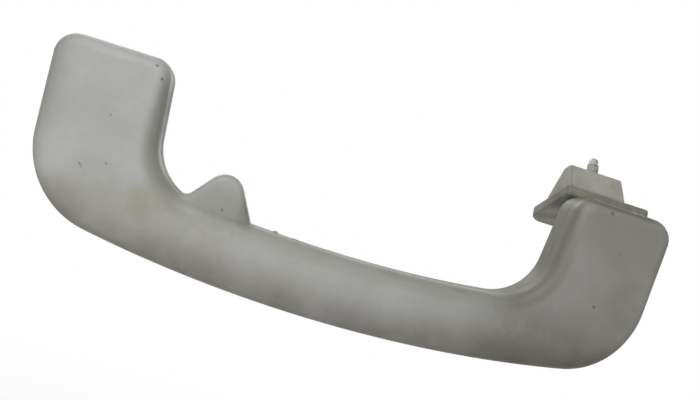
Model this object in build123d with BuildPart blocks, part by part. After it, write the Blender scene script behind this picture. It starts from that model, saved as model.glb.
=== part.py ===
from build123d import *
from math import asin, atan2, cos, hypot, radians, sin, tan
import os

os.makedirs("parts", exist_ok=True)

# Roof grab handle. +X runs along the handle, -Y faces the cabin, +Z points up to the roof.
# The origin is the middle of the hinge axis, which both brackets share. Sizes are in mm.

# Grip outline, seen from the cabin
half_length = 125.2  # middle of the handle to the outer side of an end
end_width = 43.5  # width of an end at its top
end_top = 5.5  # hinge axis up to the top of an end
outer_lean = 3.5  # degrees by which the outer sides splay upwards
inner_lean = 6.0  # degrees by which the inner sides splay upwards
bar_drop = 44.5  # hinge axis down to the bar's upper edge, at mid length
bar_height = 26.8
bar_top_radius = 600.0
bar_bottom_radius = 542.0
top_outer_radius = 8.6
top_inner_radius = 7.7
elbow_outer_radius = 33.2
elbow_inner_radius = 21.3

# Grip depth, seen from above
end_front = 7.0  # hinge axis forward to the face of an end, at its outer side
end_back = 11.0  # hinge axis back to the rim of an end
front_bow = 7.0  # how far the face bulges to the cabin over the whole length
bar_depth = 18.0
crown_radius = 26.0  # rounds the face back towards the bar's lower edge
crown_start = 9.5  # bar's upper edge down to where that rounding starts
front_edge_radius = 4.8
back_edge_radius = 4.5
hollow_half = 60.0  # mid length to where the bar's hollow back meets the flat rims
hollow_blend = 80.0

# Coat hook on the bar, near the left end
hook_depth = 8.0
hook_setback = 3.0  # face of the bar back to the face of the hook
hook_edge_radius = 2.5
hook_x = -49.6
hook_tip_radius = 7.3
hook_tip_height = 20.4  # where the two slopes would meet, above the bar
hook_heel = 13.9  # foot of the left slope, from the line of the tip
hook_heel_rise = 3.2
hook_toe = 11.9  # foot of the right slope, from the line of the tip
hook_toe_drop = 1.4
hook_foot_radius = 4.0
hook_sink = 8.0  # how far the foot reaches on into the grip

# Bracket: a flange, the block that passes through the roof lining, and two hinge arms
open_lean = 20.3  # degrees between a swung-out bracket's screw and the height of the grip
flange_width = 37.8
flange_depth = 38.2
flange_thickness = 4.7
flange_inset = 22.9  # outer side of the end in to the middle of the flange
flange_start = 8.3  # hinge axis back to the flange's near edge, along the flange
flange_drop = 9.1  # hinge axis up to the flange's under face
flange_near_corner = 1.5
flange_far_corner = 6.5  # towards the bar
flange_outer_corner = 12.0  # towards the outer side, clear of the elbow
flange_edge_radius = 0.9
block_width = 26.2
block_depth = 26.0
block_height = 11.8
block_top_width = 25.0
block_top_depth = 6.2
block_inset = 0.4  # flange's near edge back to the block's foot
block_lean = 4.8  # how far the block's near face leans back
block_shift = 4.6  # flange's middle to the block's middle, towards the bar
block_corner = 1.8
block_edge_radius = 0.8
arm_width = 4.0
arm_spacing = 25.0  # between the middles of the two arms
arm_root = 12.0  # length of an arm's foot on the flange
barrel_radius = 3.1

# Pins, screws and covers
pin_radius = 1.5
pin_chamfer = 0.3
screw_radius = 2.5
screw_neck_radius = 2.0  # thinner than the thread, so that the block holds the screw captive
screw_neck_rise = 0.4  # block's top to the foot of the thread
screw_nose_radius = 2.0
screw_nose_length = 2.6
screw_reach = 7.3  # block's top to the screw's tip
screw_head_radius = 4.0
screw_head_height = 2.8
screw_inset = 8.5  # flange's near edge back to the screw
screw_shift = 5.2  # flange's middle to the screw, towards the bar
drive_radius = 2.0
drive_depth = 1.6
washer_radius = 4.3
washer_thickness = 0.8
cover_thickness = 1.5
cover_skirt = 1.6
cover_wall = 0.9
pry_slot = 1.2
screw_room = 2.0  # free height between the screw's head and its cover

# Return spring and damper
wire_radius = 0.4
spring_turns = 5.25
spring_pitch = 1.2
spring_leg = 4.0
damper_length = 13.4
damper_wall = 0.9
damper_foot = 5.0

# Walls and clearances
face_wall = 2.6  # face of an end
ceiling_wall = 2.1  # top of an end
pocket_gap = 0.4  # round a flange that is folded into its pocket
pocket_corner = 6.0
pocket_edge_radius = 5.0
cheek_width = 3.0
cheek_reach = 4.5  # hinge axis back to a cheek's edge
cheek_drop = 6.0
snap_opening = 2.5  # slot through which the pin snaps into a cheek
rib_width = 1.6
rib_back = 1.5  # hinge axis forward to the back of a rib
rib_spacing = 12.0  # between ribs on the pocket's floor
stop_gap = 0.25  # hinge arms to the roof of an end, where they stop
side_gap = 0.3  # between an arm and a cheek
running_gap = 0.05  # pin in its cheeks, rotor in its housing
bore_gap = 0.25  # the screw's neck in its hole
recess_gap = 0.3  # round the washer
cover_gap = 0.1
coil_gap = 0.4  # pin to the spring's coil

# Places that follow from the sizes above
flange_x = half_length - flange_inset
bar_front = end_front + front_bow
bar_back = bar_depth - bar_front
bar_top_z = -bar_drop
bar_bottom_z = -bar_drop - bar_height
face_radius = (half_length**2 + front_bow**2) / (2 * front_bow)
gap_half = half_length - end_width
back_rise = end_back - bar_back
back_radius = (hollow_half**2 + back_rise**2) / (2 * back_rise)
outer_foot = half_length - (end_top - bar_bottom_z) * tan(radians(outer_lean))
inner_foot = gap_half - (end_top - bar_top_z) * tan(radians(inner_lean))
crown_z = bar_top_z - crown_start
beyond = 2 * half_length  # past every side of the grip
ceiling_z = end_top - ceiling_wall
pocket_width = flange_width + 2 * pocket_gap
pocket_floor_z = -(flange_start + flange_depth + pocket_gap)
notch_y = flange_drop
arm_slot = arm_width + 2 * side_gap
arm_offset = arm_spacing / 2
cheek_offset = arm_offset - arm_width / 2 - side_gap - cheek_width / 2
pin_length = arm_spacing + arm_width
block_top = flange_drop + flange_thickness + block_height
screw_p = flange_start + screw_inset
recess_radius = washer_radius + recess_gap
recess_depth = cover_thickness + screw_room + screw_head_height + washer_thickness
recess_top = flange_drop + recess_depth
head_foot = recess_top - washer_thickness - screw_head_height
arm_slope = atan2(flange_drop, flange_start) - radians(open_lean)
arm_slope -= asin(barrel_radius / hypot(flange_start, flange_drop))
stop_y = ((ceiling_z - stop_gap) * cos(arm_slope) - barrel_radius) / sin(arm_slope)
coil_radius = pin_radius + coil_gap + wire_radius
damper_radius = ceiling_z - side_gap
rotor_radius = damper_radius - damper_wall - running_gap

open_roof = Vector(0, sin(radians(open_lean)), cos(radians(open_lean)))
folded_roof = Vector(0, 1, 0)


# Plane facing the cabin at depth y: local x is +X and local y is +Z
def cabin_plane(y):
    return Plane(origin=(0, y, 0), x_dir=(1, 0, 0), z_dir=(0, -1, 0))


# Plane square to the hinge axis at x: local x is +Y and local y is +Z
def cross_plane(x):
    return Plane(origin=(x, 0, 0), x_dir=(0, 1, 0), z_dir=(1, 0, 0))


# Plane of a bracket through the hinge axis: local y runs along the flange, its normal to the roof
def seat_plane(x, roof):
    return Plane(origin=(x, 0, 0), x_dir=(1, 0, 0), z_dir=roof)


# Plane square to the hinge axis: local x runs along a bracket's flange and local y to the roof
def arm_plane(x, roof):
    return Plane(origin=(x, 0, 0), x_dir=seat_plane(x, roof).y_dir, z_dir=(1, 0, 0))


# Coat hook: a fin with a round tip, its foot sunk in the bar
hook_foot_z = bar_top_z + hook_x**2 / (2 * bar_top_radius)
hook_front = -bar_front + hook_x**2 / (2 * face_radius) + hook_setback
heel = (hook_x - hook_heel, hook_foot_z + hook_heel_rise)
toe = (hook_x + hook_toe, hook_foot_z - hook_toe_drop)
with BuildPart() as hook:
    with BuildSketch(cabin_plane(hook_front)):
        with BuildLine():
            FilletPolyline(
                (heel[0] - hook_sink, heel[1]),
                heel,
                (hook_x, hook_foot_z + hook_tip_height),
                toe,
                (toe[0] + hook_sink, toe[1] - hook_toe_drop),
                radius=[hook_foot_radius, hook_tip_radius, hook_foot_radius],
            )
            Polyline(
                (toe[0] + hook_sink, toe[1] - hook_toe_drop),
                (toe[0] + hook_sink, toe[1] - hook_sink),
                (heel[0] - hook_sink, toe[1] - hook_sink),
                (heel[0] - hook_sink, heel[1]),
            )
        make_face()
    extrude(amount=-hook_depth)
    rims = hook.faces().filter_by(Axis.Y).edges()
    fillet(rims.filter_by(lambda e: e.bounding_box().max.Z > hook_foot_z + 0.01), hook_edge_radius)

# Pocket of an end: the space round a folded bracket, less the cheeks and ribs that stand in it
with BuildPart() as pocket:
    with BuildSketch(cabin_plane(end_back + back_edge_radius)) as mouth:
        with Locations((flange_x, (ceiling_z + pocket_floor_z) / 2)):
            Rectangle(pocket_width, ceiling_z - pocket_floor_z)
        fillet(mouth.vertices().group_by(Axis.Y)[-1], pocket_corner)
        fillet(mouth.vertices().group_by(Axis.Y)[0].sort_by(Axis.X)[-1], flange_outer_corner)
        fillet(mouth.vertices().group_by(Axis.Y)[0].sort_by(Axis.X)[0], flange_far_corner)
    extrude(amount=beyond)
    with BuildSketch():
        with Locations((0, -bar_front + face_radius)):
            Circle(face_radius - face_wall)
    extrude(amount=beyond, both=True, mode=Mode.INTERSECT)
    fillet(pocket.faces().sort_by(Axis.Y)[0].edges(), pocket_edge_radius)
    for offset in (-cheek_offset, cheek_offset):
        with BuildSketch(cross_plane(flange_x + offset)):
            with Locations((cheek_reach, -cheek_drop)):
                Rectangle(beyond, beyond, align=(Align.MAX, Align.MIN))
        extrude(amount=cheek_width / 2, both=True, mode=Mode.SUBTRACT)
    for offset in (-rib_spacing, 0, rib_spacing):
        with BuildSketch(cross_plane(flange_x + offset)):
            with Locations((-rib_back, -2 * cheek_drop)):
                Rectangle(beyond, beyond, align=(Align.MAX, Align.MAX))
        extrude(amount=rib_width / 2, both=True, mode=Mode.SUBTRACT)
    with BuildSketch(cross_plane(flange_x)):
        Circle(pin_radius + running_gap)
        Rectangle(2 * cheek_reach, snap_opening, align=(Align.MIN, Align.CENTER))
    extrude(amount=arm_offset, both=True)
    with BuildSketch(Plane.XY.offset(-2 * cheek_drop)):
        with Locations((flange_x, notch_y)):
            Rectangle(pocket_width, beyond, align=(Align.CENTER, Align.MIN))
    extrude(amount=beyond)
    with BuildSketch():
        with Locations((flange_x - arm_offset, stop_y), (flange_x + arm_offset, stop_y)):
            Rectangle(arm_slot, beyond, align=(Align.CENTER, Align.MIN))
    extrude(amount=beyond)

# Hand gap between the two ends, above the bar
with BuildSketch() as hand_gap:
    Polygon(
        (-gap_half, end_top),
        (gap_half, end_top),
        (inner_foot, bar_top_z),
        (-inner_foot, bar_top_z),
        align=None,
    )
    with Locations((0, bar_top_z + bar_top_radius)):
        Circle(bar_top_radius, mode=Mode.INTERSECT)

# Grip: outline and bowed plan crossed and rounded, the hook added and both ends hollowed
with BuildPart() as grip:
    with BuildSketch(cabin_plane(0)) as outline:
        Polygon(
            (-half_length, end_top),
            (half_length, end_top),
            (outer_foot, bar_bottom_z),
            (-outer_foot, bar_bottom_z),
            align=None,
        )
        with Locations((0, bar_bottom_z + bar_bottom_radius)):
            Circle(bar_bottom_radius, mode=Mode.INTERSECT)
        add(hand_gap.sketch, mode=Mode.SUBTRACT)
        fillet(outline.vertices().group_by(Axis.Y)[0], elbow_outer_radius)
        inner = outline.vertices().filter_by(lambda v: abs(v.X) < gap_half - 1 and v.Y < 0)
        fillet(inner.filter_by(lambda v: abs(v.X) > inner_foot / 2), elbow_inner_radius)
        fillet(outline.vertices().group_by(Axis.Y)[-1].sort_by(lambda v: abs(v.X))[:2], top_inner_radius)
        fillet(outline.vertices().group_by(Axis.Y)[-1].sort_by(lambda v: abs(v.X))[-2:], top_outer_radius)
    extrude(amount=beyond, both=True)
    with BuildSketch() as plan:
        with Locations((0, end_back)):
            Rectangle(2 * half_length, beyond, align=(Align.CENTER, Align.MAX))
        with Locations((0, bar_back + back_radius)):
            Circle(back_radius, mode=Mode.SUBTRACT)
        fillet(plan.vertices().filter_by(lambda v: abs(abs(v.X) - hollow_half) < 1), hollow_blend)
    extrude(amount=beyond, both=True, mode=Mode.INTERSECT)
    with BuildPart(mode=Mode.INTERSECT):
        with BuildSketch(cross_plane(0)) as crown:
            with Locations((-bar_front, crown_z - crown_radius)):
                Rectangle(face_radius, beyond, align=Align.MIN)
            fillet(crown.vertices().sort_by(lambda v: v.X + v.Y)[0], crown_radius)
        revolve(axis=Axis((0, -bar_front + face_radius, 0), (0, 0, 1)))
    front = grip.faces().filter_by(lambda f: f.normal_at().Y < -0.5).edges()
    seam = front.filter_by_position(Axis.Z, crown_z - 0.01, crown_z + 0.01)
    seam = seam.filter_by(lambda e: abs((e @ 0).Z - crown_z) < 0.01)
    fillet(front.filter_by(lambda e: e not in seam), front_edge_radius)
    rim = grip.faces().filter_by(lambda f: f.normal_at().Y > 0.8).edges()
    seams = rim.filter_by(Axis.Z).filter_by(lambda e: abs(e.center().X) < inner_foot)
    fillet(rim.filter_by(lambda e: e not in seams), back_edge_radius)
    add(hook.part)
    add(pocket.part, mode=Mode.SUBTRACT)
    mirror(pocket.part, about=Plane.YZ, mode=Mode.SUBTRACT)


# Bracket: hand is 1 at the right end and -1 at the left, roof the way its flange faces
def make_bracket(hand, roof):
    seat = seat_plane(hand * flange_x, roof)
    block_x = -hand * block_shift
    screw_x = -hand * screw_shift
    with BuildPart() as bracket:
        with BuildSketch(seat.offset(flange_drop)) as flange:
            with Locations((0, flange_start + flange_depth / 2)):
                Rectangle(flange_width, flange_depth)
            fillet(flange.vertices().group_by(Axis.Y)[0], flange_near_corner)
            far = flange.vertices().group_by(Axis.Y)[-1]
            fillet(far.sort_by(lambda v: hand * v.X)[-1], flange_outer_corner)
            far = flange.vertices().group_by(Axis.Y)[-1]
            fillet(far.sort_by(lambda v: hand * v.X)[0], flange_far_corner)
        extrude(amount=flange_thickness)
        fillet(bracket.faces().filter_by(seat).edges(), flange_edge_radius)
        block_foot = flange_drop + flange_thickness - flange_edge_radius
        with BuildSketch(seat.offset(block_foot)):
            with Locations((block_x, flange_start + block_inset + block_depth / 2)):
                RectangleRounded(block_width, block_depth, block_corner)
        with BuildSketch(seat.offset(block_top)):
            with Locations((block_x, flange_start + block_inset + block_lean + block_top_depth / 2)):
                RectangleRounded(block_top_width, block_top_depth, block_corner)
        loft()
        top_face = bracket.faces().sort_by(lambda f: f.center().dot(roof))[-1]
        fillet(top_face.edges(), block_edge_radius)
        for x in (-arm_offset, arm_offset):
            with BuildSketch(arm_plane(hand * flange_x + x, roof)):
                Circle(barrel_radius)
                with Locations((flange_start, flange_drop)):
                    Rectangle(arm_root, flange_edge_radius, align=Align.MIN)
                make_hull()
            extrude(amount=arm_width / 2, both=True)
        with BuildSketch(arm_plane(hand * flange_x, roof)):
            Circle(pin_radius)
        extrude(amount=pin_length, both=True, mode=Mode.SUBTRACT)
        with BuildSketch(seat.offset(flange_drop)):
            with Locations((screw_x, screw_p)):
                Circle(recess_radius)
        extrude(amount=recess_depth, mode=Mode.SUBTRACT)
        with BuildSketch(seat.offset(flange_drop)):
            with Locations((screw_x, screw_p)):
                Circle(screw_neck_radius + bore_gap)
        extrude(amount=block_top, mode=Mode.SUBTRACT)
    return bracket.part


# Hinge pin, pressed into the arms of its bracket
def make_pin(hand):
    with BuildPart() as pin:
        with BuildSketch(cross_plane(hand * flange_x)):
            Circle(pin_radius)
        extrude(amount=pin_length / 2, both=True)
        chamfer(pin.faces().filter_by(Axis.X).edges(), pin_chamfer)
    return pin.part


# Roof screw: pan head in the recess, neck through the block, thread and round nose outside
def make_screw(hand, roof):
    seat = seat_plane(hand * flange_x, roof)
    at_screw = (-hand * screw_shift, screw_p)
    neck_foot = head_foot + screw_head_height
    thread_foot = block_top + screw_neck_rise
    nose_foot = block_top + screw_reach - screw_nose_length
    with BuildPart() as screw:
        with BuildSketch(seat.offset(head_foot)):
            with Locations(at_screw):
                Circle(screw_head_radius)
        extrude(amount=screw_head_height)
        fillet(screw.edges().sort_by(lambda e: e.center().dot(roof))[0], screw_head_height / 3)
        with BuildSketch(seat.offset(head_foot)):
            with Locations(at_screw):
                RegularPolygon(drive_radius, 6)
        extrude(amount=drive_depth, mode=Mode.SUBTRACT)
        with BuildSketch(seat.offset(neck_foot)):
            with Locations(at_screw):
                Circle(screw_neck_radius)
        extrude(amount=thread_foot - neck_foot)
        with BuildSketch(seat.offset(thread_foot)):
            with Locations(at_screw):
                Circle(screw_radius)
        extrude(amount=nose_foot - thread_foot)
        with BuildSketch(seat.offset(nose_foot)):
            with Locations(at_screw):
                Circle(screw_nose_radius)
        extrude(amount=screw_nose_length)
        fillet(screw.edges().sort_by(lambda e: e.center().dot(roof))[-1], screw_nose_radius / 2)
    return screw.part


# Washer between the screw's head and the recess
def make_washer(hand, roof):
    with BuildPart() as washer:
        with BuildSketch(seat_plane(hand * flange_x, roof).offset(recess_top - washer_thickness)):
            with Locations((-hand * screw_shift, screw_p)):
                Circle(washer_radius)
                Circle(screw_neck_radius + bore_gap, mode=Mode.SUBTRACT)
        extrude(amount=washer_thickness)
    return washer.part


# Screw cover: a cap with a skirt, flush in the mouth of the recess
def make_cover(hand, roof):
    seat = seat_plane(hand * flange_x, roof)
    at_screw = (-hand * screw_shift, screw_p)
    cover_radius = recess_radius - cover_gap
    with BuildPart() as cover:
        with BuildSketch(seat.offset(flange_drop)):
            with Locations(at_screw):
                Circle(cover_radius)
        extrude(amount=cover_thickness + cover_skirt)
        with BuildSketch(seat.offset(flange_drop + cover_thickness)):
            with Locations(at_screw):
                Circle(cover_radius - cover_wall)
        extrude(amount=cover_skirt, mode=Mode.SUBTRACT)
        with BuildSketch(seat.offset(flange_drop)):
            with Locations((at_screw[0], at_screw[1] + cover_radius)):
                Rectangle(2 * pry_slot, 2 * pry_slot)
        extrude(amount=cover_thickness / 2, mode=Mode.SUBTRACT)
    return cover.part


# Return spring of the left bracket: a coil round the pin with a leg at each end
coil_length = spring_turns * spring_pitch
with BuildPart() as return_spring:
    with BuildLine() as wire:
        coil = Helix(
            spring_pitch,
            coil_length,
            coil_radius,
            center=(-flange_x - coil_length / 2, 0, 0),
            direction=(1, 0, 0),
        )
        Line(coil @ 0 - (coil % 0) * spring_leg, coil @ 0)
        Line(coil @ 1, coil @ 1 + (coil % 1) * spring_leg)
    with BuildSketch(Plane(origin=wire.line @ 0, z_dir=wire.line % 0)):
        Circle(wire_radius)
    sweep(path=wire.line, is_frenet=True)

# Damper of the right hinge: a housing on the face wall and a rotor on the pin
with BuildPart() as damper_housing:
    with BuildSketch(cross_plane(flange_x)):
        Circle(damper_radius)
        with Locations((0, -damper_radius)):
            Rectangle(damper_foot, damper_radius, align=(Align.MAX, Align.MIN))
        Circle(rotor_radius + running_gap, mode=Mode.SUBTRACT)
    extrude(amount=damper_length / 2, both=True)

with BuildPart() as damper_rotor:
    with BuildSketch(cross_plane(flange_x)):
        Circle(rotor_radius)
        Circle(pin_radius, mode=Mode.SUBTRACT)
    extrude(amount=damper_length / 2, both=True)

pieces = {
    "grip": grip.part,
    "return_spring": return_spring.part,
    "damper_housing": damper_housing.part,
    "damper_rotor": damper_rotor.part,
}
for side, hand, roof in (("right", 1, open_roof), ("left", -1, folded_roof)):
    pieces[side + "_bracket"] = make_bracket(hand, roof)
    pieces[side + "_hinge_pin"] = make_pin(hand)
    pieces[side + "_screw"] = make_screw(hand, roof)
    pieces[side + "_washer"] = make_washer(hand, roof)
    pieces[side + "_screw_cover"] = make_cover(hand, roof)

for name, piece in pieces.items():
    piece.label = name
    export_step(piece, "parts/" + name + ".step")
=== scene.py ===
import bpy
import bmesh
import math
from mathutils import Matrix, Vector, noise


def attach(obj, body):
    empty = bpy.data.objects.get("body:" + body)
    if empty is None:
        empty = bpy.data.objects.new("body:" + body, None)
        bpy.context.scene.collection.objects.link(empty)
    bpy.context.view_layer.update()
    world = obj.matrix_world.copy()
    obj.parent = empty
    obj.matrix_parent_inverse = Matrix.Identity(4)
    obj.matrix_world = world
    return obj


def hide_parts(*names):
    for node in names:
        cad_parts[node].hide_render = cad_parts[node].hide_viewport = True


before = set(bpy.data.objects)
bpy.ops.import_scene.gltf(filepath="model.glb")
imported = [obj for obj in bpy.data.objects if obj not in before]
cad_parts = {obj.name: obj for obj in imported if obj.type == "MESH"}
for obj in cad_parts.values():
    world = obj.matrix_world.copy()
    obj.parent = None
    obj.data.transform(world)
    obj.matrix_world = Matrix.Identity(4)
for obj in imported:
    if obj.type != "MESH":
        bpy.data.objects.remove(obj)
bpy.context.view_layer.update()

# Brackets and screws, in metres. P is measured from the hinge line along the bracket, and
# heights from that line towards the roof.
LEAN = math.radians(20.3)
FOLDED = math.radians(90)
SCREW_X = 0.0971
SCREW_P = 0.0168
BLOCK_TOP = 0.0256
THREAD_FOOT = BLOCK_TOP + 0.0004
NOSE_FOOT = BLOCK_TOP + 0.0047
TIP = BLOCK_TOP + 0.0073
HEAD_FOOT = 0.0126
HEAD_TOP = 0.0154
DRIVE_DEPTH = 0.0016
DRIVE_R = 0.00205
LOBE_SHARE = 0.16
THREAD_R = 0.0025
THREAD_DEPTH = 0.00042
THREAD_PITCH = 0.0008
THREAD_END_R = 0.00205
FLUTE_FOOT = NOSE_FOOT - 0.0022
FLUTE_END = NOSE_FOOT + 0.0009
FLUTE_DEPTH = 0.00062
FLUTE_TURN = math.radians(-62)
FLUTE_REACH = 0.34

# The grip's outline, for the painted shade and grime that follow it: the bar's lower edge is a
# shallow arch, and the hand gap ends in two round elbows
ARCH_DROP = 0.0713
ARCH_BEND = 1.084
ELBOW_X = 0.058
ELBOW_DROP = 0.021
FACE_Y = -0.011
BLOTCH_DEPTH = 0.012

# Mould parting line
PARTING_Y = -0.0010
BEAD_R = 0.00012
BEAD_STEP = 0.0009

# Camera, for a frame 700 pixels wide, with its focal length in those pixels
FRAME_WIDTH = 700.0
FOCAL_LENGTH = 819.0
SENSOR_WIDTH = 36.0
CAMERA_AT = (-0.04852, -0.314064, -0.022698)
CAMERA_RIGHT = (0.94562, -0.13245, 0.29710)
CAMERA_FORWARD = (0.13943, 0.99023, -0.00234)

# The points that the lamps face, on the handle
MIDDLE = (0, 0, -0.03)
LEFT_OF_MIDDLE = (-0.02, 0, -0.03)


# Short helpers for node trees
class Tree:
    def __init__(self, name):
        self.mat = bpy.data.materials.new(name)
        self.mat.use_nodes = True
        self.nt = self.mat.node_tree
        self.nt.nodes.clear()
        self.out = self.nt.nodes.new("ShaderNodeOutputMaterial")
        self.bsdf = self.nt.nodes.new("ShaderNodeBsdfPrincipled")
        self.link(self.bsdf.outputs[0], self.out.inputs[0])
        place = self.nt.nodes.new("ShaderNodeTexCoord")
        self.pos = place.outputs["Object"]
        self.facing = place.outputs["Normal"]

    def link(self, a, b):
        self.nt.links.new(a, b)

    def put(self, value, socket):
        if isinstance(value, bpy.types.NodeSocket):
            self.link(value, socket)
        else:
            socket.default_value = value

    def noise(self, scale, detail, rough, vector=None, distortion=0.0):
        n = self.nt.nodes.new("ShaderNodeTexNoise")
        n.inputs["Scale"].default_value = scale
        n.inputs["Detail"].default_value = detail
        n.inputs["Roughness"].default_value = rough
        n.inputs["Distortion"].default_value = distortion
        self.link(vector or self.pos, n.inputs["Vector"])
        return n.outputs["Fac"]

    def math(self, op, a, b=0.0):
        n = self.nt.nodes.new("ShaderNodeMath")
        n.operation = op
        self.put(a, n.inputs[0])
        self.put(b, n.inputs[1])
        return n.outputs[0]

    def times(self, value, *factors):
        for factor in factors:
            value = self.math("MULTIPLY", value, factor)
        return value

    def ramp(self, value, low, high, start=0.0, end=1.0):
        n = self.nt.nodes.new("ShaderNodeMapRange")
        n.interpolation_type = "SMOOTHSTEP"
        n.inputs["From Min"].default_value = low
        n.inputs["From Max"].default_value = high
        n.inputs["To Min"].default_value = start
        n.inputs["To Max"].default_value = end
        self.link(value, n.inputs["Value"])
        return n.outputs["Result"]

    def mix(self, factor, a, b):
        n = self.nt.nodes.new("ShaderNodeMix")
        n.data_type = "RGBA"
        self.put(factor, n.inputs["Factor"])
        self.put(a, n.inputs[6])
        self.put(b, n.inputs[7])
        return n.outputs[2]

    def layer(self, base, mask, strength, colour):
        return self.mix(self.times(mask, strength), base, colour)

    def axes(self, vector=None):
        n = self.nt.nodes.new("ShaderNodeSeparateXYZ")
        self.link(vector or self.pos, n.inputs[0])
        return n.outputs[0], n.outputs[1], n.outputs[2]

    def stretched(self, scale, move=(0.0, 0.0, 0.0)):
        n = self.nt.nodes.new("ShaderNodeMapping")
        n.inputs["Location"].default_value = move
        n.inputs["Scale"].default_value = scale
        self.link(self.pos, n.inputs["Vector"])
        return n.outputs[0]

    # a round mark with a ragged edge, placed in x and z alone
    def spot(self, x, z, inner, outer):
        n = self.nt.nodes.new("ShaderNodeVectorMath")
        n.operation = "DISTANCE"
        n.inputs[1].default_value = (x, 0.0, z)
        self.link(self.stretched((1.0, 0.0, 1.0)), n.inputs[0])
        ragged = self.times(self.math("SUBTRACT", self.noise(1400, 2, 0.6), 0.5), 0.0012)
        return self.ramp(self.math("ADD", n.outputs["Value"], ragged), inner, outer, 1.0, 0.0)

    # a soft ellipsoid round a place, with its three reaches
    def blob(self, place, reach):
        n = self.nt.nodes.new("ShaderNodeVectorMath")
        n.operation = "LENGTH"
        scale = [1 / r for r in reach]
        move = [-p / r for p, r in zip(place, reach)]
        self.link(self.stretched(scale, move), n.inputs[0])
        return self.ramp(n.outputs["Value"], 0.25, 1.0, 1.0, 0.0)

    def bump(self, height, strength, distance, normal=None):
        n = self.nt.nodes.new("ShaderNodeBump")
        n.inputs["Strength"].default_value = strength
        n.inputs["Distance"].default_value = distance
        self.link(height, n.inputs["Height"])
        if normal is not None:
            self.link(normal, n.inputs["Normal"])
        return n.outputs[0]


def srgb(r, g, b):
    def one(v):
        v /= 255
        return v / 12.92 if v <= 0.04045 else ((v + 0.055) / 1.055) ** 2.4

    return (one(r), one(g), one(b), 1.0)


# Height above the bar's lower edge
def above_edge(t, x, z):
    rise = t.math("DIVIDE", t.times(x, x), ARCH_BEND)
    return t.math("SUBTRACT", t.math("ADD", z, ARCH_DROP), rise)


# Distance from the middle of the hand gap, past its elbows' centres
def gap_distance(t, x, z):
    across = t.math("MAXIMUM", t.math("SUBTRACT", t.math("ABSOLUTE", x), ELBOW_X), 0.0)
    down = t.math("MINIMUM", t.math("ADD", z, ELBOW_DROP), 0.0)
    return t.math("SQRT", t.math("ADD", t.times(across, across), t.times(down, down)))


# Broad blotches on the face: pale stains, and dark patches on the lower right elbow, the right end's
# outer part and at the hook's right foot; each with its place, its reaches, its strength and its colour
def grip_blotches(t, base):
    pale = srgb(136, 130, 116)
    dark = srgb(100, 96, 87)
    for sx, sz, wx, wz, strength, colour in (
        (-0.079, -0.046, 0.009, 0.011, 0.55, srgb(150, 145, 124)),
        (-0.072, -0.0445, 0.011, 0.007, 0.40, srgb(152, 147, 128)),
        (-0.020, -0.056, 0.075, 0.026, 0.16, pale),
        (0.020, -0.0453, 0.012, 0.0018, 0.45, pale),
        (0.045, -0.0441, 0.007, 0.0016, 0.50, pale),
        (0.104, -0.013, 0.006, 0.009, 0.20, pale),
        (-0.107, -0.052, 0.014, 0.010, 0.40, pale),
        (-0.097, -0.042, 0.015, 0.012, 0.22, pale),
        (-0.084, -0.052, 0.020, 0.012, 0.30, pale),
        (0.082, -0.058, 0.042, 0.028, 0.55, dark),
        (-0.041, -0.040, 0.005, 0.009, 0.42, dark),
        (-0.060, -0.056, 0.030, 0.024, 0.22, pale),
        (0.112, -0.034, 0.012, 0.022, 0.30, dark),
    ):
        blotch = t.blob((sx, FACE_Y, sz), (wx, BLOTCH_DEPTH, wz))
        blotch = t.times(blotch, t.ramp(t.noise(160, 4, 0.6), 0.25, 0.6, 0.5, 1.0))
        base = t.layer(base, blotch, strength, colour)
    return base


# Small nicks on the front half of the grip, each with its place and radius
def grip_nicks(t, y):
    nicks = None
    for sx, sz, r in (
        (-0.1025, -0.0404, 0.00040),
        (-0.1032, -0.0396, 0.00028),
        (-0.0977, -0.0197, 0.00024),
        (-0.0943, -0.0371, 0.00028),
        (-0.0873, 0.0022, 0.00050),
        (-0.0843, -0.0019, 0.00050),
        (-0.0500, -0.0410, 0.00045),
        (0.0955, 0.0020, 0.00070),
        (0.1036, -0.0125, 0.00040),
        (0.0995, -0.0351, 0.00050),
        (0.1176, -0.0315, 0.00030),
    ):
        mark = t.spot(sx, sz, r * 0.4, r * 1.8)
        nicks = mark if nicks is None else t.math("MAXIMUM", nicks, mark)
    broken = t.ramp(t.noise(1500, 2, 0.6), 0.36, 0.56, 0.3, 1.0)
    return t.times(nicks, broken, t.ramp(y, -0.0045, -0.0060))
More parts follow.
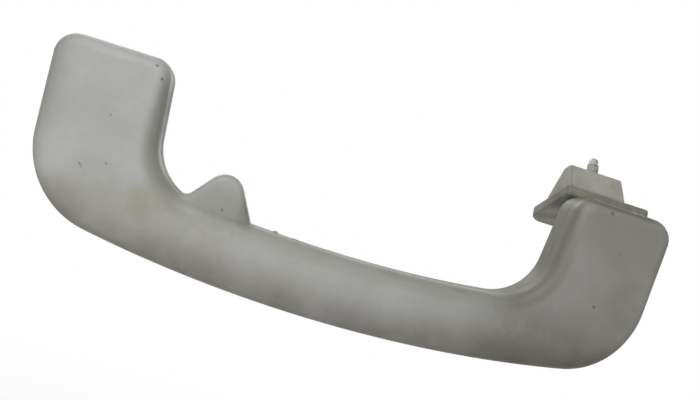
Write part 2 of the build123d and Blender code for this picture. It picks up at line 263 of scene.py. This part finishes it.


# Aged light grey plastic of the grip, with painted shade, grime, stains, nicks and a fine grain
def grip_plastic():
    t = Tree("aged_grip_plastic")
    x, y, z = t.axes()
    base = t.mix(t.ramp(t.noise(38, 3, 0.5), 0.35, 0.68), srgb(172, 172, 171), srgb(163, 164, 162))
    warm = t.ramp(t.noise(55, 4, 0.6, distortion=0.4), 0.48, 0.75, 0.0, 0.5)
    base = t.mix(warm, base, srgb(168, 166, 158))
    fine = t.ramp(t.noise(420, 3, 0.6), 0.40, 0.75, 0.0, 0.20)
    base = t.mix(fine, base, srgb(152, 151, 146))

    # painted shade of the light falling off towards the right end, partly wear from handling, so it is
    # darker and browner
    patch = t.ramp(t.noise(30, 4, 0.6, distortion=0.3), 0.3, 0.7, 0.75, 1.0)
    base = t.layer(base, t.times(t.ramp(x, 0.0, 0.10), patch), 0.80, srgb(123, 120, 113))

    # painted shade along the bar's lower edge and round the elbows, partly grime
    edge = above_edge(t, x, z)
    low = t.times(t.ramp(edge, 0.001, 0.018, 1.0, 0.0), t.ramp(t.noise(70, 4, 0.6), 0.3, 0.7, 0.6, 1.0))
    low = t.times(low, t.ramp(x, 0.02, 0.09, 0.80, 0.95))
    brown = t.mix(t.ramp(x, 0.02, 0.08), srgb(106, 101, 93), srgb(84, 79, 71))
    base = t.mix(low, base, brown)

    # painted shade on the up-facing top of the bar and on the hook, partly olive grime
    top_band_shade_and_grime = t.times(t.ramp(edge, 0.0200, 0.0240), t.ramp(t.math("ABSOLUTE", x), 0.070, 0.054))
    top_band_shade_and_grime = t.times(top_band_shade_and_grime, t.ramp(z, -0.0300, -0.0370, 0.2, 1.0))
    base = t.layer(base, top_band_shade_and_grime, 0.42, srgb(124, 127, 115))

    # painted shade near the left end's sides, partly grime, and deeper painted shade behind its face
    gap = gap_distance(t, x, z)
    left_side_shade_and_grime = t.times(t.ramp(gap, 0.0290, 0.0240), t.ramp(x, -0.060, -0.070))
    left_side_shade_and_grime = t.times(left_side_shade_and_grime, t.ramp(z, 0.006, -0.008, 0.35, 1.0))
    left_side_shade_and_grime = t.math("MAXIMUM", left_side_shade_and_grime, t.ramp(x, -0.114, -0.124, 0.0, 0.6))
    base = t.layer(base, left_side_shade_and_grime, 0.68, srgb(112, 112, 102))
    left_back_shade = t.times(left_side_shade_and_grime, t.ramp(y, -0.0055, -0.0010))
    base = t.layer(base, left_back_shade, 0.60, srgb(80, 80, 71))

    # painted shade in the hand gap, partly grime, on the walls that face it
    wall = t.times(t.ramp(y, -0.0095, -0.0045), t.ramp(t.math("ABSOLUTE", x), 0.092, 0.086))
    wall = t.times(wall, t.ramp(z, -0.062, -0.050), t.ramp(z, 0.002, -0.020, 0.3, 1.0))
    wall = t.times(wall, t.ramp(t.noise(90, 5, 0.65), 0.3, 0.65, 0.6, 1.0))
    base = t.layer(base, wall, t.ramp(x, -0.02, 0.07, 0.35, 0.95), srgb(108, 107, 94))

    # painted shade on the side of the right end that faces the gap, over its fillet's highlight, partly
    # olive grime
    right_gap_side_shade_and_grime = t.times(t.ramp(gap, 0.0285, 0.0230), t.ramp(x, 0.056, 0.070))
    base = t.layer(base, right_gap_side_shade_and_grime, 0.75, srgb(104, 104, 92))

    # the top of the right end, in the shade of the flange
    top = t.times(t.ramp(z, 0.0026, 0.0048), t.ramp(x, 0.076, 0.082))
    top = t.times(top, t.ramp(x, 0.118, 0.112, 0.35, 1.0))
    base = t.layer(base, top, 0.60, srgb(84, 81, 71))

    base = grip_blotches(t, base)
    nicks = grip_nicks(t, y)
    specks = t.ramp(t.noise(900, 2, 0.5), 0.735, 0.80)
    base = t.layer(base, specks, 0.20, srgb(108, 104, 95))
    base = t.layer(base, nicks, 0.70, srgb(72, 69, 62))
    t.link(base, t.bsdf.inputs["Base Color"])

    t.link(t.ramp(t.noise(60, 4, 0.6), 0.3, 0.7, 0.48, 0.62), t.bsdf.inputs["Roughness"])
    # the shaded top is also less glossy
    gloss = t.math("SUBTRACT", 0.40, t.times(top, 0.36))
    t.link(gloss, t.bsdf.inputs["Specular IOR Level"])
    scuffs = t.bump(t.noise(240, 4, 0.65, vector=t.stretched((0.35, 1.0, 1.4))), 0.10, 0.00022)
    dents = t.bump(t.times(nicks, -1.0), 0.5, 0.00035, scuffs)
    t.link(t.bump(t.noise(2600, 2, 0.6), 0.16, 0.00006, dents), t.bsdf.inputs["Normal"])
    return t.mat


# Aged, brownish plastic of the brackets, with painted shade and a painted shadow
def bracket_plastic():
    t = Tree("aged_bracket_plastic")
    x, y, z = t.axes()
    base = t.mix(t.ramp(t.noise(70, 4, 0.6), 0.35, 0.7), srgb(166, 165, 156), srgb(152, 150, 139))
    streak = t.noise(130, 4, 0.6, vector=t.stretched((1.6, 1.0, 0.5)))
    base = t.mix(t.ramp(streak, 0.5, 0.78, 0.0, 0.5), base, srgb(134, 130, 114))

    # painted shade on the side of the right block that faces the hand gap
    right = t.ramp(x, 0.0, 0.01)
    gap_side_shade = t.times(t.ramp(t.axes(t.facing)[0], -0.15, -0.45), right)
    base = t.layer(base, gap_side_shade, 0.45, srgb(108, 107, 96))

    # painted shade on the right flange below the block, where it meets the block, partly grime
    height = t.math("ADD", t.times(y, math.sin(LEAN)), t.times(z, math.cos(LEAN)))
    flange_shade_and_grime = t.times(t.ramp(height, 0.0152, 0.0128), right)
    flange_shade_and_grime = t.times(flange_shade_and_grime, t.ramp(t.noise(180, 4, 0.6), 0.25, 0.6, 0.55, 1.0))
    base = t.layer(base, flange_shade_and_grime, 0.80, srgb(103, 101, 87))

    # painted shadow in the gap where that flange's underside corner lies close over the grip
    flange_gap_shadow = t.blob((0.0855, 0.019, 0.0027), (0.0045, 0.016, 0.007))
    base = t.layer(base, flange_gap_shadow, 0.90, srgb(52, 47, 39))
    specks = t.ramp(t.noise(800, 2, 0.5), 0.72, 0.80)
    base = t.layer(base, specks, 0.30, srgb(98, 94, 82))
    t.link(base, t.bsdf.inputs["Base Color"])

    t.link(t.ramp(t.noise(90, 4, 0.6), 0.3, 0.7, 0.42, 0.58), t.bsdf.inputs["Roughness"])
    t.bsdf.inputs["Specular IOR Level"].default_value = 0.42
    soft = t.bump(t.noise(300, 4, 0.6), 0.10, 0.0002)
    t.link(t.bump(t.noise(2400, 2, 0.6), 0.14, 0.00006, soft), t.bsdf.inputs["Normal"])
    return t.mat


# Dull zinc plated or plain steel, with a fine grain
def steel(name, colour, tarnish, rough, metallic=0.85):
    t = Tree(name)
    base = t.mix(t.ramp(t.noise(500, 4, 0.6), 0.35, 0.7), colour, tarnish)
    t.link(base, t.bsdf.inputs["Base Color"])
    t.bsdf.inputs["Metallic"].default_value = metallic
    t.link(t.ramp(t.noise(900, 3, 0.6), 0.3, 0.7, rough - 0.06, rough + 0.08), t.bsdf.inputs["Roughness"])
    t.link(t.bump(t.noise(3000, 2, 0.5), 0.12, 0.00005), t.bsdf.inputs["Normal"])
    return t.mat


# Moulded plastic of the small inner parts
def small_plastic(name, colour, worn, rough):
    t = Tree(name)
    base = t.mix(t.ramp(t.noise(260, 4, 0.6), 0.35, 0.75), colour, worn)
    t.link(base, t.bsdf.inputs["Base Color"])
    t.link(t.ramp(t.noise(300, 3, 0.6), 0.3, 0.7, rough - 0.05, rough + 0.07), t.bsdf.inputs["Roughness"])
    t.link(t.bump(t.noise(2600, 2, 0.6), 0.12, 0.00005), t.bsdf.inputs["Normal"])
    return t.mat


GRIP = grip_plastic()
BRACKET = bracket_plastic()
SCREW = steel("dull_zinc", srgb(198, 198, 195), srgb(160, 158, 150), 0.5, 0.45)
PIN = steel("plain_steel", srgb(178, 178, 178), srgb(150, 149, 147), 0.34)
SPRING = steel("oiled_spring_wire", srgb(128, 128, 130), srgb(92, 88, 82), 0.36)
COVER = small_plastic("cover_plastic", srgb(172, 170, 161), srgb(156, 152, 140), 0.5)
DAMPER = small_plastic("black_plastic", srgb(52, 52, 54), srgb(70, 69, 68), 0.46)
ROTOR = small_plastic("white_plastic", srgb(208, 207, 202), srgb(190, 187, 178), 0.44)

finishes = {
    "grip": GRIP,
    "right_bracket": BRACKET,
    "left_bracket": BRACKET,
    "right_hinge_pin": PIN,
    "left_hinge_pin": PIN,
    "return_spring": SPRING,
    "damper_housing": DAMPER,
    "damper_rotor": ROTOR,
    "right_screw": SCREW,
    "left_screw": SCREW,
    "right_washer": SCREW,
    "left_washer": SCREW,
    "right_screw_cover": COVER,
    "left_screw_cover": COVER,
}
for name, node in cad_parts.items():
    node.data.materials.clear()
    node.data.materials.append(finishes[name])


def add_object(name, data):
    obj = bpy.data.objects.new(name, data)
    bpy.context.scene.collection.objects.link(obj)
    return obj


def add_mesh(name, verts, faces, material):
    mesh = bpy.data.meshes.new(name)
    mesh.from_pydata(verts, [], faces)
    mesh.validate()
    mesh.materials.append(material)
    for p in mesh.polygons:
        p.use_smooth = True
    return add_object(name, mesh)


def add_piece(name, verts, faces, material, body):
    obj = add_mesh(name, verts, faces, material)
    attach(obj, body)
    return obj


# Four-sided faces between rings of points, where the last ring may join the first
def skin(rings, around, closed=False):
    faces = []
    for i in range(rings if closed else rings - 1):
        j = (i + 1) % rings
        for k in range(around):
            q = (k + 1) % around
            faces.append((i * around + k, i * around + q, j * around + q, j * around + k))
    return faces


def matrix_of(first, second, third, origin):
    m = Matrix.Identity(4)
    for i, axis in enumerate((first, second, third)):
        m.col[i] = (*axis, 0)
    m.col[3] = (*origin, 1)
    return m


# Frame of a bracket: origin on the hinge line, first axis +X, third axis to the roof
def bracket_matrix(x, lean):
    roof = Vector((0, math.sin(lean), math.cos(lean)))
    along = Vector((0, math.cos(lean), -math.sin(lean)))
    return matrix_of((1, 0, 0), along, roof, (x, 0, 0))


# Depth of a 60 degree thread below its crest, at a share of the pitch
def thread_depth(share):
    d = abs((share % 1.0) - 0.5) * 2
    return THREAD_DEPTH * min(1.0, max(0.0, (d - 0.16) / 0.72))


# Depth of the flute that lets the tip clear paint out of the hole
def flute_depth(angle, h):
    if h <= FLUTE_FOOT:
        return 0.0
    start = min(1.0, (h - FLUTE_FOOT) / 0.0012)
    end = min(1.0, max(0.0, 1 - (h - FLUTE_END) / 0.0007))
    turn = (angle - FLUTE_TURN + math.pi) % (2 * math.pi) - math.pi
    return FLUTE_DEPTH * start * end * math.exp(-((turn / FLUTE_REACH) ** 2))


# Roof screw with a real thread, a round nose, a cutting flute and a six-lobe drive
def threaded_screw(name, node, body, x, lean):
    around = 72
    rows = 72
    head = (
        (0.00110, HEAD_FOOT + DRIVE_DEPTH),
        (0.00190, HEAD_FOOT + 0.00155),
        (DRIVE_R, HEAD_FOOT + 0.00020),
        (0.00225, HEAD_FOOT),
        (0.00315, HEAD_FOOT + 0.00002),
        (0.00370, HEAD_FOOT + 0.00030),
        (0.00394, HEAD_FOOT + 0.00080),
        (0.00400, HEAD_FOOT + 0.00130),
        (0.00400, HEAD_TOP - 0.00010),
        (0.00390, HEAD_TOP),
        (0.00200, HEAD_TOP),
        (0.00200, THREAD_FOOT - 0.00020),
    )
    nose = (
        (0.00202, NOSE_FOOT + 0.0001),
        (0.00200, NOSE_FOOT + 0.0004),
        (0.00198, NOSE_FOOT + 0.0012),
        (0.00190, NOSE_FOOT + 0.0018),
        (0.00170, NOSE_FOOT + 0.00222),
        (0.00136, NOSE_FOOT + 0.00248),
        (0.00090, NOSE_FOOT + 0.00258),
    )
    rings = [[(r, h)] * around for r, h in head]
    for i in range(rows + 1):
        h = THREAD_FOOT + (NOSE_FOOT - THREAD_FOOT) * i / rows
        fade = min(1.0, (h - THREAD_FOOT) / 0.0006 + 0.25, (NOSE_FOOT - h) / 0.0005 + 0.35)
        ring = []
        for k in range(around):
            r = THREAD_R - thread_depth(h / THREAD_PITCH - k / around)
            ring.append((THREAD_END_R + (r - THREAD_END_R) * fade, h))
        rings.append(ring)
    rings += [[(r, h)] * around for r, h in nose]

    m = bracket_matrix(x, lean)
    verts = []
    for ring in rings:
        for k, (r, h) in enumerate(ring):
            a = 2 * math.pi * k / around
            if HEAD_FOOT + 0.0001 < h < HEAD_FOOT + 0.0017 and r <= DRIVE_R:
                r *= 1 - LOBE_SHARE * (0.5 + 0.5 * math.cos(6 * a)) ** 2
            r -= flute_depth(a, h)
            verts.append(m @ Vector((r * math.cos(a), SCREW_P + r * math.sin(a), h)))

    # close the drive's floor and the nose
    faces = skin(len(rings), around)
    floor_at = len(verts)
    tip_at = floor_at + 1
    last = floor_at - around
    verts.append(m @ Vector((0, SCREW_P, HEAD_FOOT + DRIVE_DEPTH)))
    verts.append(m @ Vector((0, SCREW_P, TIP)))
    for k in range(around):
        q = (k + 1) % around
        faces.append((floor_at, q, k))
        faces.append((tip_at, last + k, last + q))
    obj = add_piece(name, verts, faces, SCREW, body)
    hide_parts(node)


threaded_screw("right_threaded_screw", "right_screw", "right_mount", SCREW_X, LEAN)
threaded_screw("left_threaded_screw", "left_screw", "left_mount", -SCREW_X, FOLDED)


# Closed lines where a plane across Y cuts a node
def section_loops(node, y):
    bm = bmesh.new()
    bm.from_mesh(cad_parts[node].data)
    bmesh.ops.remove_doubles(bm, verts=bm.verts, dist=1e-6)
    cut = bmesh.ops.bisect_plane(
        bm,
        geom=bm.verts[:] + bm.edges[:] + bm.faces[:],
        plane_co=(0, y, 0),
        plane_no=(0, 1, 0),
        clear_inner=True,
        clear_outer=True,
    )["geom_cut"]
    left = {e for e in cut if isinstance(e, bmesh.types.BMEdge)}
    loops = []
    while left:
        e = min(left, key=lambda q: tuple(q.verts[0].co))
        left.discard(e)
        line = list(e.verts)
        while True:
            nxt = [q for q in line[-1].link_edges if q in left]
            if not nxt:
                break
            left.discard(nxt[0])
            line.append(nxt[0].other_vert(line[-1]))
        loops.append([v.co.copy() for v in line])
    bm.free()
    return loops


def length_of(points):
    return sum((b - a).length for a, b in zip(points, points[1:]))


# The same line with its points at even steps
def resample(points, step):
    total = length_of(points)
    count = max(8, int(total / step))
    out, walked, i = [], 0.0, 0
    seg = (points[1] - points[0]).length
    for k in range(count):
        want = total * k / count
        while walked + seg < want and i < len(points) - 2:
            walked += seg
            i += 1
            seg = (points[i + 1] - points[i]).length
        share = (want - walked) / seg if seg > 1e-12 else 0.0
        out.append(points[i].lerp(points[i + 1], min(1.0, max(0.0, share))))
    return out


# Mould parting line round the grip: a fine, uneven bead where its two mould halves met
def parting_bead(name, y, radius):
    line = resample(max(section_loops("grip", y), key=length_of), BEAD_STEP)
    n = len(line)
    sides = 6
    verts = []
    for i in range(n):
        t = (line[(i + 1) % n] - line[i - 1]).normalized()
        out = Vector((t.z, 0, -t.x))
        r = radius * max(0.35, 0.65 + 0.7 * noise.noise(line[i] * 120))
        for k in range(sides):
            a = 2 * math.pi * k / sides
            verts.append(line[i] + out * (r * math.cos(a)) + Vector((0, r * math.sin(a), 0)))
    add_piece(name, verts, skin(n, sides, closed=True), GRIP, "handle")


parting_bead("grip_parting_line", PARTING_Y, BEAD_R)


# Burrs of torn plastic: small closed humps sunk in the grip
def burr(name, centre, size, seed):
    bm = bmesh.new()
    bmesh.ops.create_icosphere(bm, subdivisions=3, radius=1.0)
    bm.verts.index_update()
    verts = []
    for v in bm.verts:
        k = 1 + 0.35 * noise.noise(v.co * 1.7 + Vector((seed, 0, 0)))
        verts.append(v.co * Vector(size) * k + Vector(centre))
    faces = [[v.index for v in f.verts] for f in bm.faces]
    bm.free()
    add_piece(name, verts, faces, GRIP, "handle")


burr("bar_burr_left", (-0.0284, -0.0030, -0.0437), (0.0010, 0.0008, 0.0007), 3.1)
burr("bar_burr_middle", (-0.0205, -0.0035, -0.0441), (0.0016, 0.0007, 0.0003), 7.7)


# Pale material of the stage, which grows to plain white behind the handle
def stage_white():
    t = Tree("pale_stage")
    t.bsdf.inputs["Base Color"].default_value = (0.62, 0.62, 0.61, 1)
    t.bsdf.inputs["Roughness"].default_value = 0.9
    glow = t.nt.nodes.new("ShaderNodeEmission")
    glow.inputs["Color"].default_value = (1, 1, 1, 1)
    path = t.nt.nodes.new("ShaderNodeLightPath")
    blend = t.nt.nodes.new("ShaderNodeMixShader")
    seen = t.math("MAXIMUM", path.outputs["Is Camera Ray"], path.outputs["Is Glossy Ray"])
    seen = t.math("MAXIMUM", seen, path.outputs["Is Transmission Ray"])
    t.link(t.times(seen, t.ramp(t.axes()[1], 0.3, 0.8, 0.78, 1.0)), blend.inputs[0])
    t.link(t.bsdf.outputs[0], blend.inputs[1])
    t.link(glow.outputs[0], blend.inputs[2])
    t.link(blend.outputs[0], t.out.inputs[0])
    return t.mat


# Floor and backdrop in one pale sweep, well below and behind the handle
def stage_sweep():
    front, wall, half_width = -3.0, 2.4, 4.0
    floor, top, bend, steps = -0.32, 3.2, 0.8, 24
    line = [(front, floor)]
    for i in range(steps + 1):
        a = math.pi / 2 * i / steps
        line.append((wall - bend + bend * math.sin(a), floor + bend - bend * math.cos(a)))
    line.append((wall, top))
    verts = [(x, y, z) for x in (-half_width, half_width) for y, z in line]
    n = len(line)
    faces = [(i, i + 1, n + i + 1, n + i) for i in range(n - 1)]
    floor_obj = add_mesh("floor", verts, faces, stage_white())


stage_sweep()


def lamp(name, at, to, size, power, colour=(1, 1, 1)):
    data = bpy.data.lights.new(name, "AREA")
    data.shape = "RECTANGLE"
    data.size, data.size_y = size
    data.energy = power
    data.color = colour
    obj = add_object(name, data)
    obj.location = at
    obj.rotation_euler = (Vector(to) - Vector(at)).to_track_quat("-Z", "Y").to_euler()


# Soft lamps: a key from the upper left front, a weak fill, two behind and a weak one below
lamp("key", (-0.24, -0.62, 0.40), LEFT_OF_MIDDLE, (0.40, 0.40), 4.0, (1.0, 0.998, 0.99))
lamp("fill", (-0.2, -1.2, 0.1), MIDDLE, (0.7, 0.7), 1.6, (0.98, 0.99, 1.0))
lamp("back_left", (-0.7, 1.3, 1.0), MIDDLE, (0.8, 0.8), 10.5)
lamp("back_right", (0.9, 1.2, 0.5), MIDDLE, (0.8, 0.8), 8.5)
lamp("below", (0.0, 0.5, -0.30), MIDDLE, (0.5, 0.3), 0.6)


# World: white where the camera sees it, and otherwise a weak light that grows upwards
def studio_world():
    world = bpy.data.worlds.new("studio")
    bpy.context.scene.world = world
    world.use_nodes = True
    nt = world.node_tree
    nt.nodes.clear()
    place = nt.nodes.new("ShaderNodeTexCoord")
    height = nt.nodes.new("ShaderNodeSeparateXYZ")
    level = nt.nodes.new("ShaderNodeMapRange")
    level.inputs["From Min"].default_value = -0.6
    level.inputs["From Max"].default_value = 0.8
    level.inputs["To Min"].default_value = 0.07
    level.inputs["To Max"].default_value = 0.36
    soft = nt.nodes.new("ShaderNodeBackground")
    soft.inputs["Color"].default_value = (0.98, 0.99, 1.0, 1)
    white = nt.nodes.new("ShaderNodeBackground")
    white.inputs["Color"].default_value = (1, 1, 1, 1)
    white.inputs["Strength"].default_value = 1.0
    path = nt.nodes.new("ShaderNodeLightPath")
    pick = nt.nodes.new("ShaderNodeMixShader")
    out = nt.nodes.new("ShaderNodeOutputWorld")
    for a, b in (
        (place.outputs["Generated"], height.inputs[0]),
        (height.outputs[2], level.inputs["Value"]),
        (level.outputs["Result"], soft.inputs["Strength"]),
        (path.outputs["Is Camera Ray"], pick.inputs[0]),
        (soft.outputs[0], pick.inputs[1]),
        (white.outputs[0], pick.inputs[2]),
        (pick.outputs[0], out.inputs[0]),
    ):
        nt.links.new(a, b)


studio_world()


# Camera at the photograph's place and tilt
def photo_camera():
    data = bpy.data.cameras.new("camera")
    data.sensor_width = SENSOR_WIDTH
    data.lens = SENSOR_WIDTH * FOCAL_LENGTH / FRAME_WIDTH
    data.clip_start = 0.01
    right = Vector(CAMERA_RIGHT).normalized()
    forward = Vector(CAMERA_FORWARD).normalized()
    right = (right - forward * right.dot(forward)).normalized()
    camera = add_object("camera", data)
    camera.matrix_world = matrix_of(right, right.cross(forward), -forward, CAMERA_AT)
    return camera


bpy.context.scene.camera = photo_camera()
bpy.context.scene.view_settings.view_transform = "Standard"
